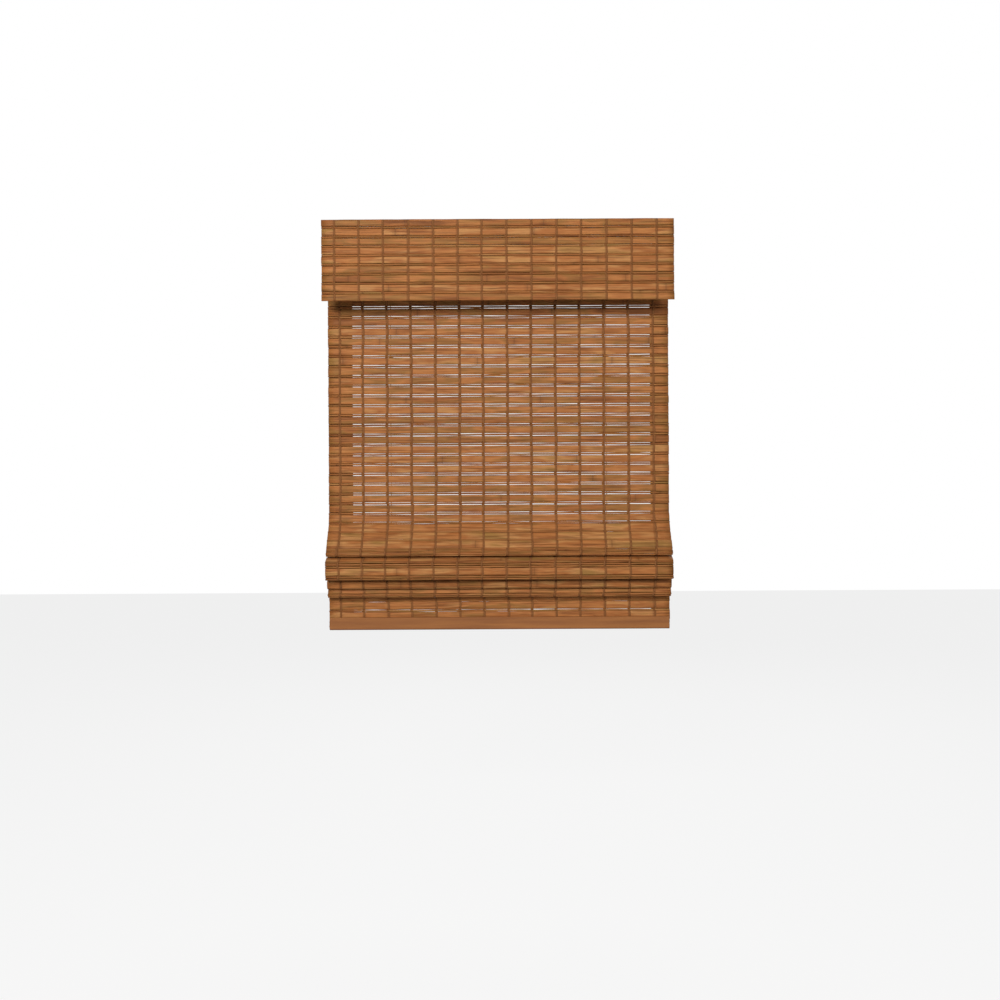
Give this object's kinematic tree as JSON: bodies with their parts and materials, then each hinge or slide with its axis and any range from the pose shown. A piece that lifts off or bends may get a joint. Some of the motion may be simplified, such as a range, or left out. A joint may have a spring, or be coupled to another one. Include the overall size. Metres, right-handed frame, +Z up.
{
  "type": "bamboo roman shade",
  "caption": "Woven bamboo roman shade with a valance, hung partly raised so that its lower folds are gathered, with a spring-lifted headrail for ceiling fixing.",
  "frame": {"origin": "middle of the four ceiling screws, on the top faces of the two brackets", "axes": "+Z up, -Y towards the room, +X to the right seen from the room"},
  "size_m": [0.6866, 0.0774, 0.806],
  "materials": {
    "bamboo": "satin",
    "wood_strip": "satin",
    "tape": "matt",
    "hook_tape": "matt",
    "cord": "matt",
    "headrail_paint": "satin",
    "bracket_steel": "zinc plated",
    "screw_steel": "zinc plated",
    "spring_steel": "rolled",
    "white_plastic": "moulded",
    "drum_plastic": "moulded",
    "ring_plastic": "moulded"
  },
  "bodies": {
    "headrail": {"headrail": "headrail_paint", "left_end_cap": "white_plastic", "right_end_cap": "white_plastic", "left_bracket": "bracket_steel", "right_bracket": "bracket_steel", "mat_batten": "wood_strip", "batten_screws": "screw_steel", "mat_hook_tape": "hook_tape", "shade_mat": "bamboo", "left_edge_tape": "tape", "right_edge_tape": "tape", "valance_board": "wood_strip", "valance_clips": "bracket_steel", "valance_hook_tape": "hook_tape", "valance_mat": "bamboo", "valance_edge_tapes": "tape", "motor_tray": "white_plastic", "motor_cover": "white_plastic", "power_spring": "spring_steel", "left_cord_guide": "white_plastic", "right_cord_guide": "white_plastic", "left_lift_cord": "cord", "right_lift_cord": "cord"},
    "row_1": {"ring_row_1": "ring_plastic"},
    "row_2": {"ring_row_2": "ring_plastic"},
    "row_3": {"ring_row_3": "ring_plastic"},
    "row_4": {"ring_row_4": "ring_plastic"},
    "row_5": {"ring_row_5": "ring_plastic"},
    "row_6": {"ring_row_6": "ring_plastic"},
    "row_7": {"ring_row_7": "ring_plastic"},
    "bottom_rail": {"ring_row_8": "ring_plastic", "bottom_rail": "bamboo", "rail_back_slat": "wood_strip", "rail_screws": "screw_steel", "cord_buttons": "ring_plastic"},
    "left_cord_drum": {"left_cord_drum": "drum_plastic"},
    "spring_drum": {"spring_drum": "drum_plastic"},
    "idler_gear": {"idler_gear": "drum_plastic"},
    "storage_drum": {"storage_drum": "drum_plastic"},
    "right_cord_drum": {"right_cord_drum": "drum_plastic"},
    "left_guide_roller": {"left_guide_roller": "drum_plastic"},
    "right_guide_roller": {"right_guide_roller": "drum_plastic"}
  },
  "joints": [
    {"name": "stack_lift", "type": "slide", "parent": "headrail", "child": "row_5", "axis": [0, 0, 1], "range_m": [-0.0551, 0.52], "deforming": ["shade_mat", "left_edge_tape", "right_edge_tape", "left_lift_cord", "right_lift_cord"]},
    {"name": "rail_lift", "type": "slide", "parent": "row_5", "child": "bottom_rail", "axis": [0, 0, 1], "range_m": [-0.3904, 0], "deforming": ["shade_mat", "left_edge_tape", "right_edge_tape", "left_lift_cord", "right_lift_cord"]},
    {"name": "row_1_lift", "type": "slide", "parent": "headrail", "child": "row_1", "axis": [0, 0, 1], "range_m": [-0.0021, 0.0168]},
    {"name": "row_2_lift", "type": "slide", "parent": "headrail", "child": "row_2", "axis": [0, 0, 1], "range_m": [-0.0176, 0.1624]},
    {"name": "row_3_lift", "type": "slide", "parent": "headrail", "child": "row_3", "axis": [0, 0, 1], "range_m": [-0.0309, 0.2883]},
    {"name": "row_4_lift", "type": "slide", "parent": "headrail", "child": "row_4", "axis": [0, 0, 1], "range_m": [-0.0463, 0.4339]},
    {"name": "row_6_lift", "type": "slide", "parent": "row_5", "child": "row_6", "axis": [0, 0, 1], "range_m": [-0.1488, 0.0004]},
    {"name": "row_7_lift", "type": "slide", "parent": "row_5", "child": "row_7", "axis": [0, 0, 1], "range_m": [-0.275, 0.0004]},
    {"name": "left_cord_drum_turn", "type": "hinge", "parent": "headrail", "child": "left_cord_drum", "pos_m": [-0.0453, 0.0138, -0.03], "axis": [0, 0, 1], "range_deg": [-2347, 249.6]},
    {"name": "spring_drum_turn", "type": "hinge", "parent": "headrail", "child": "spring_drum", "pos_m": [-0.0151, 0.0138, -0.03], "axis": [0, 0, 1], "range_deg": [-249.6, 2347]},
    {"name": "idler_gear_turn", "type": "hinge", "parent": "headrail", "child": "idler_gear", "pos_m": [0.0151, 0.0138, -0.03], "axis": [0, 0, 1], "range_deg": [-2347, 249.6]},
    {"name": "storage_drum_turn", "type": "hinge", "parent": "headrail", "child": "storage_drum", "pos_m": [0.0151, 0.0138, -0.03], "axis": [0, 0, 1], "range_deg": [-193, 1812.9]},
    {"name": "right_cord_drum_turn", "type": "hinge", "parent": "headrail", "child": "right_cord_drum", "pos_m": [0.0453, 0.0138, -0.03], "axis": [0, 0, 1], "range_deg": [-249.6, 2347]},
    {"name": "left_guide_roller_turn", "type": "hinge", "parent": "headrail", "child": "left_guide_roller", "pos_m": [-0.212, 0.0265, -0.027], "axis": [0, 1, 0], "range_deg": [-632.4, 5959.8]},
    {"name": "right_guide_roller_turn", "type": "hinge", "parent": "headrail", "child": "right_guide_roller", "pos_m": [0.212, 0.0265, -0.027], "axis": [0, 1, 0], "range_deg": [-5959.8, 632.4]}
  ],
  "couplings": [
    {"joint": "row_1_lift", "follows": "stack_lift", "ratio": 0.0315},
    {"joint": "row_2_lift", "follows": "stack_lift", "ratio": 0.3115},
    {"joint": "row_3_lift", "follows": "stack_lift", "ratio": 0.5537},
    {"joint": "row_4_lift", "follows": "stack_lift", "ratio": 0.8337},
    {"joint": "row_6_lift", "follows": "rail_lift", "ratio": 0.3801},
    {"joint": "row_7_lift", "follows": "rail_lift", "ratio": 0.7034},
    {"joint": "left_cord_drum_turn", "follows": "stack_lift", "rad_per_m": -78.74},
    {"joint": "spring_drum_turn", "follows": "stack_lift", "rad_per_m": 78.74},
    {"joint": "idler_gear_turn", "follows": "stack_lift", "rad_per_m": -78.74},
    {"joint": "storage_drum_turn", "follows": "stack_lift", "rad_per_m": 60.815},
    {"joint": "right_cord_drum_turn", "follows": "stack_lift", "rad_per_m": 78.74},
    {"joint": "left_guide_roller_turn", "follows": "stack_lift", "rad_per_m": 200},
    {"joint": "right_guide_roller_turn", "follows": "stack_lift", "rad_per_m": -200}
  ]
}
